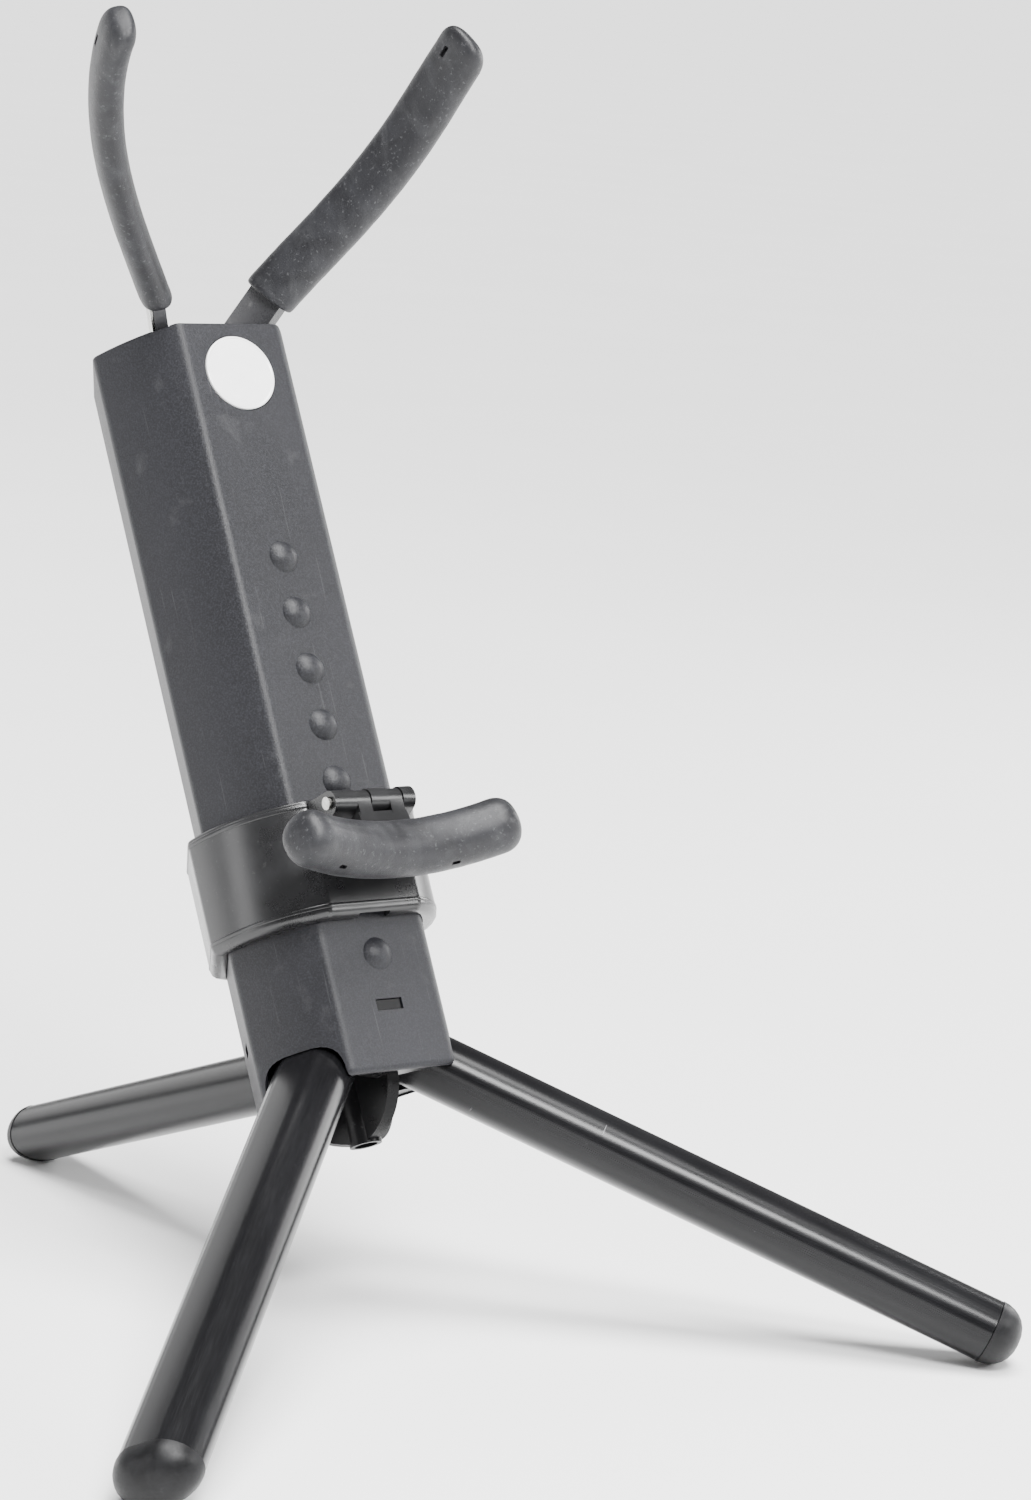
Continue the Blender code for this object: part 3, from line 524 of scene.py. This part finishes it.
def arm_stations(length, steps):
    """Sleeve centre line: run, place in the arm plane, slope and bow out of the plane."""
    x, y = SLEEVE_START
    stations = [(0.0, x, y, ARM_SLOPE, 0.0)]
    stride = length / steps
    for step in range(1, steps + 1):
        middle = (step - 0.5) * stride / SLEEVE_LENGTH
        slope = ARM_SLOPE - 0.773 * middle + 2.287 * middle ** 2 - 1.774 * middle ** 3
        x += stride * math.cos(slope)
        y += stride * math.sin(slope)
        run = step * stride / SLEEVE_LENGTH
        bow = (21.9 * run + 10.2 * run ** 2 - 35.1 * run ** 3) * MM
        stations.append((step * stride, x, y, slope, bow))
    return stations


def station_place(side, station):
    """Frame at a station: X across the sleeve, Y out of the arm plane, Z along the sleeve."""
    _, x, y, slope, bow = station
    place = Matrix.Translation((x, y, bow)) @ Matrix.Rotation(slope, 4, "Z")
    turn = Matrix(((0, 0, 1), (1, 0, 0), (0, 1, 0))).to_4x4()
    return arm_frame(side) @ place @ turn


def lumpy(point, size, amount):
    """Factor near 1 that gives a moulded skin its slight unevenness."""
    return 1.0 + amount * noise.fractal(point * size, 0.7, 2.0, 3)


def seam(index, width):
    """1 on the moulding seams at both ends of an outline's first axis, 0 away from them."""
    half_way = SKIN_POINTS // 2
    beside = min(index % half_way, half_way - index % half_way)
    return math.exp(-(beside / width) ** 2)


def sleeve_body_ring(place, outer):
    ring = []
    for index, (x, y) in enumerate(outer):
        spot = place @ Vector((x, y, 0))
        swell = lumpy(spot, 60, 0.012) * lumpy(spot, 260, 0.004)
        lift = 1.0 + 0.012 * seam(index, 0.8)
        ring.append(place @ Vector((x * swell * lift, y * swell, 0)))
    return ring


def sleeve_rings(side):
    """Rings from the pocket's end, out at the mouth and along the skin to the tip, and the tip."""
    outer = oval(*SLEEVE_HALF, 2.6, SKIN_POINTS)
    pocket = oval(*POCKET_HALF, 9, SKIN_POINTS)
    body = arm_stations(SLEEVE_LENGTH - SLEEVE_TIP, SLEEVE_STEPS)
    rings = []
    inner = [station for station in body if station[0] < SLEEVE_LENGTH - POCKET_STOP]
    for station in reversed(inner[::6]):
        place = station_place(side, station)
        rings.append([place @ Vector((x, y, 0)) for x, y in pocket])
    base = station_place(side, body[0])
    for reach, share in SLEEVE_MOUTH:
        rings.append([base @ Vector((x * share, y * share, reach * MM)) for x, y in outer])
    rings += [sleeve_body_ring(station_place(side, station), outer) for station in body[2:]]
    last = station_place(side, body[-1])
    before = station_place(side, body[-4])
    drift = (last.to_translation() - before.to_translation()).normalized()
    for step in range(1, 15):
        angle = math.pi / 2 * step / 14.4
        share = math.cos(angle) ** CAP_POWER
        middle = drift * SLEEVE_TIP * math.sin(angle)
        rings.append([last @ Vector((x * share, y * share, 0)) + middle for x, y in outer])
    return rings, last, drift


def make_sleeve(side):
    """Padded sleeve with a pocket for the blade and a small moulding slot on each face."""
    rings, last, drift = sleeve_rings(side)
    piece = new_piece("sleeve_skin_" + side, rings, LOOK["rubber"], sharp=SKIN_SHARP)
    hole = (Matrix.Translation(drift * -SLEEVE_SLOT_SETBACK) @ last
            @ Matrix.Translation((SLEEVE_SLOT_ASIDE, 0, 0)) @ Matrix.Rotation(math.pi / 2, 4, "X"))
    near, far = SLEEVE_SLOT_DEPTHS
    carve(piece, [slot_tool(hole, SLEEVE_SLOT_HALF, -far, -near),
                  slot_tool(hole, SLEEVE_SLOT_HALF, near, far)], SKIN_SHARP)
    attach(piece, "arm_" + side)
    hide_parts("arm_sleeve_" + side)


# ---------------------------------------------------------------- cradle pad
HINGE = (-56.6 * MM, 95.6 * MM)
BAR_CENTRE = (-62.5 * MM, 74.3 * MM)
BAR_TILT = math.radians(22.5)
BAR_RADIUS = 100 * MM
BAR_HALF = 44 * MM
BAR_DOME = 8.3 * MM
BAR_STEPS = 90
END_ANGLE = BAR_HALF / BAR_RADIUS
PAD_HALF = (10.4 * MM, 10.6 * MM)
CORE_HALF = (4.9 * MM, 4.3 * MM)
CORE_SHARES = (-0.86, -0.6, -0.3, 0.0, 0.3, 0.6, 0.86)
WEB_START = 5 * MM
WEB_HALF = (11.3 * MM, 2.5 * MM)
PAD_SLOT_SHARES = (-0.72, 0.50)
PAD_SLOT_HALF = (0.9 * MM, 1.7 * MM)
PAD_SLOT_DEPTHS = (8.6 * MM, 13 * MM)


def bar_frame():
    """Frame of the bar's arc: X along the bar, Y away from the column."""
    curve = Vector((0, -math.cos(BAR_TILT), math.sin(BAR_TILT)))
    return frame_from(Vector((0, *BAR_CENTRE)), Vector((1, 0, 0)), curve)


def bar_place(angle, reach=0.0):
    """Frame on the bar's arc: X away from its centre of curve, Y square to the arc's plane."""
    tangent = Vector((math.cos(angle), math.sin(angle), 0))
    normal = Vector((-math.sin(angle), math.cos(angle), 0))
    middle = Vector((0, BAR_RADIUS, 0)) - normal * BAR_RADIUS + tangent * reach
    return bar_frame() @ frame_from(middle, normal, Vector((0, 0, 1)))


def bar_stations():
    """Angle on the arc, reach past its end, and share of the full section, from end to end."""
    cap = []
    for step in range(1, 14):
        angle = math.pi / 2 * step / 13.4
        cap.append((BAR_DOME * math.sin(angle), math.cos(angle) ** CAP_POWER))
    stations = [(-END_ANGLE, -reach, share) for reach, share in reversed(cap)]
    stations += [(END_ANGLE * (2 * step / BAR_STEPS - 1), 0.0, 1.0) for step in range(BAR_STEPS + 1)]
    return stations + [(END_ANGLE, reach, share) for reach, share in cap]


def pad_ring(place, outline, share):
    ring = []
    for index, (x, y) in enumerate(outline):
        spot = place @ Vector((x, y, 0))
        swell = share * lumpy(spot, 70, 0.012) * lumpy(spot, 300, 0.004)
        ring.append(place @ Vector((x * swell * (1 - 0.022 * seam(index, 0.7)), y * swell, 0)))
    return ring


def core_tool():
    """Room for the hard core inside the pad."""
    outline = oval(*CORE_HALF, 4, 16)
    return cutter([[bar_place(END_ANGLE * share) @ Vector((x, y, 0)) for x, y in outline]
                   for share in CORE_SHARES])


def web_tool():
    """Room for the web that joins the core to the hinge."""
    towards = Vector((0, BAR_CENTRE[0] - HINGE[0], BAR_CENTRE[1] - HINGE[1]))
    x_axis = towards.normalized()
    web = frame_from(Vector((0, *HINGE)), x_axis, Vector((-1, 0, 0)).cross(x_axis))
    half_width, half_thick = WEB_HALF
    corners = [(WEB_START, -half_thick), (towards.length, -half_thick),
               (towards.length, half_thick), (WEB_START, half_thick)]
    return cutter([[web @ Vector((x, y, z)) for x, y in corners] for z in (-half_width, half_width)])


def make_cradle_skin():
    """Padded curved bar with round ends, two seams and two small moulding slots underneath."""
    outline = oval(*PAD_HALF, 2.2, SKIN_POINTS)
    rings = [pad_ring(bar_place(angle, reach), outline, share) for angle, reach, share in bar_stations()]
    piece = new_piece("cradle_skin", rings, LOOK["rubber"], sharp=SKIN_SHARP)
    tools = [core_tool(), web_tool()]
    for share in PAD_SLOT_SHARES:
        spot = bar_place(END_ANGLE * share) @ Matrix.Rotation(-math.pi / 2, 4, "X")
        tools.append(slot_tool(spot, PAD_SLOT_HALF, *PAD_SLOT_DEPTHS))
    carve(piece, tools, SKIN_SHARP)
    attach(piece, "cradle")
    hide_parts("cradle_pad")


# ---------------------------------------------------------------- trim
COLLAR_CORNER = 6.0 * MM
BEAD_ROOT = 0.5 * MM
BEAD_STEPS = 8
BADGE_HEIGHT = 278.9 * MM
BADGE_POINTS = 96
# radius and height above the flat, in millimetres, from under the disc out over the rim
BADGE_RIM = ((0.6, -0.55), (15.3, -0.55), (15.3, 0.35), (15.05, 0.62), (14.7, 0.72), (14.45, 0.66),
             (14.3, 0.50), (13.9, 0.44), (13.6, 0.44), (0.6, 0.44))
FACE_RADIUS = 14.1 * MM
FACE_ROOT = 0.42 * MM
FACE_EDGE = 0.50 * MM
FACE_DOME = 0.55 * MM
FACE_RINGS = 13


def make_collar_bead(name, height, half, proud):
    """Half-round bead round the collar, with its root sunk into the collar's wall."""
    profile = [(-BEAD_ROOT, height - half)]
    for step in range(BEAD_STEPS + 1):
        angle = math.pi * (step / BEAD_STEPS - 0.5)
        profile.append((proud * math.cos(angle), height + half * math.sin(angle)))
    profile.append((-BEAD_ROOT, height + half))
    rings = []
    for offset, level in profile:
        outline = section_outline(COLLAR_SECTION, offset, COLLAR_CORNER + offset)
        rings.append([Vector((x, y, level)) for x, y in outline])
    new_piece(name, rings, LOOK["collar"], "collar", loop_rings=True, sharp=35)


def badge_ring(radius, height):
    place = flat_frame(0, BADGE_HEIGHT)
    turns = [2 * math.pi * i / BADGE_POINTS for i in range(BADGE_POINTS)]
    return [place @ Vector((radius * math.cos(turn), radius * math.sin(turn), height)) for turn in turns]


def make_badge():
    """Blank white disc: a raised rim and a slightly domed face."""
    rings = [badge_ring(radius * MM, height * MM) for radius, height in BADGE_RIM]
    new_piece("badge_rim", rings, LOOK["white"], "column")
    rings = [badge_ring(FACE_RADIUS, FACE_ROOT)]
    for step in range(FACE_RINGS):
        radius = FACE_RADIUS * (1 - step / FACE_RINGS)
        rings.append(badge_ring(radius, FACE_EDGE + FACE_DOME * (1 - (radius / FACE_RADIUS) ** 2)))
    face = new_piece("badge_face", rings, LOOK["white"], "column", sharp=60)
    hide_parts("badge")


for side in ARMS:
    make_sleeve(side)
make_cradle_skin()
make_collar_bead("collar_foot_bead", 60.2 * MM, 0.8 * MM, 0.25 * MM)
make_collar_bead("collar_top_bead", 99.6 * MM, 0.9 * MM, 0.3 * MM)
make_badge()


# ---------------------------------------------------------------- floor, light and camera
FLOOR_HALF = 400
FLOOR_GAP = 0.2 * MM
AIM = (0, 0, 0.2)


def make_floor():
    """Plain floor just under the feet, reaching past the horizon of every view."""
    bm = bmesh.new()
    bmesh.ops.create_grid(bm, x_segments=24, y_segments=24, size=FLOOR_HALF)
    mesh = bpy.data.meshes.new("floor")
    bm.to_mesh(mesh)
    bm.free()
    floor = bpy.data.objects.new("floor", mesh)
    floor.location.z = min(CAD_LOW.z, 0.0) - FLOOR_GAP
    bpy.context.scene.collection.objects.link(floor)
    floor.data.materials.append(floor_paint())


def area_light(name, place, size, power, target=AIM):
    """Rectangular soft box that faces a target; size in metres, power in watts."""
    data = bpy.data.lights.new(name, "AREA")
    data.shape = "RECTANGLE"
    data.size, data.size_y = size
    data.energy = power
    light = bpy.data.objects.new(name, data)
    light.location = place
    light.rotation_euler = (Vector(place) - Vector(target)).to_track_quat("Z", "Y").to_euler()
    bpy.context.scene.collection.objects.link(light)


def sun(name, towards, strength, angle):
    """Wide, even light from a direction; angle is its width in degrees."""
    data = bpy.data.lights.new(name, "SUN")
    data.energy = strength
    data.angle = math.radians(angle)
    light = bpy.data.objects.new(name, data)
    light.rotation_euler = Vector(towards).to_track_quat("Z", "Y").to_euler()
    bpy.context.scene.collection.objects.link(light)


def make_world(strength):
    """Even white surroundings."""
    world = bpy.data.worlds.new("studio")
    world.use_nodes = True
    background = world.node_tree.nodes["Background"]
    background.inputs["Color"].default_value = (1.0, 1.0, 1.0, 1)
    background.inputs["Strength"].default_value = strength
    bpy.context.scene.world = world


def make_camera():
    """Long lens from the front left, a little above the stand."""
    right = Vector((0.8003089, -0.59540765, 0.07067812))
    up = Vector((0.04679287, 0.17954035, 0.98263711))
    back = Vector((-0.59775923, -0.78310599, 0.17154857))
    data = bpy.data.cameras.new("camera")
    data.lens = 108.8929
    data.sensor_width = 36
    data.clip_start, data.clip_end = 0.05, 1200
    camera = bpy.data.objects.new("camera", data)
    turn = Matrix((right, up, back)).transposed().to_4x4()
    camera.matrix_world = Matrix.Translation((-0.97860981, -1.39547035, 0.51363809)) @ turn
    bpy.context.scene.collection.objects.link(camera)
    bpy.context.scene.camera = camera


make_floor()
make_world(0.27)
sun("overhead", (0.0, -0.08, 1.0), 7.6, 34)
area_light("left_box", (-1.82, 0.38, 0.55), (0.5, 0.9), 9)
area_light("top_strip", (-0.30, -1.24, 1.62), (0.8, 0.42), 72)
area_light("right_box", (1.90, 0.30, 0.72), (0.5, 0.8), 18)
area_light("front_right_box", (1.30, -1.42, 1.08), (0.9, 0.7), 29)
area_light("low_right_box", (1.75, -0.95, 0.40), (0.7, 0.4), 5, (0, 0, 0.12))
area_light("back_panel", (-0.40, 2.40, 0.85), (2.0, 1.1), 15)
make_camera()
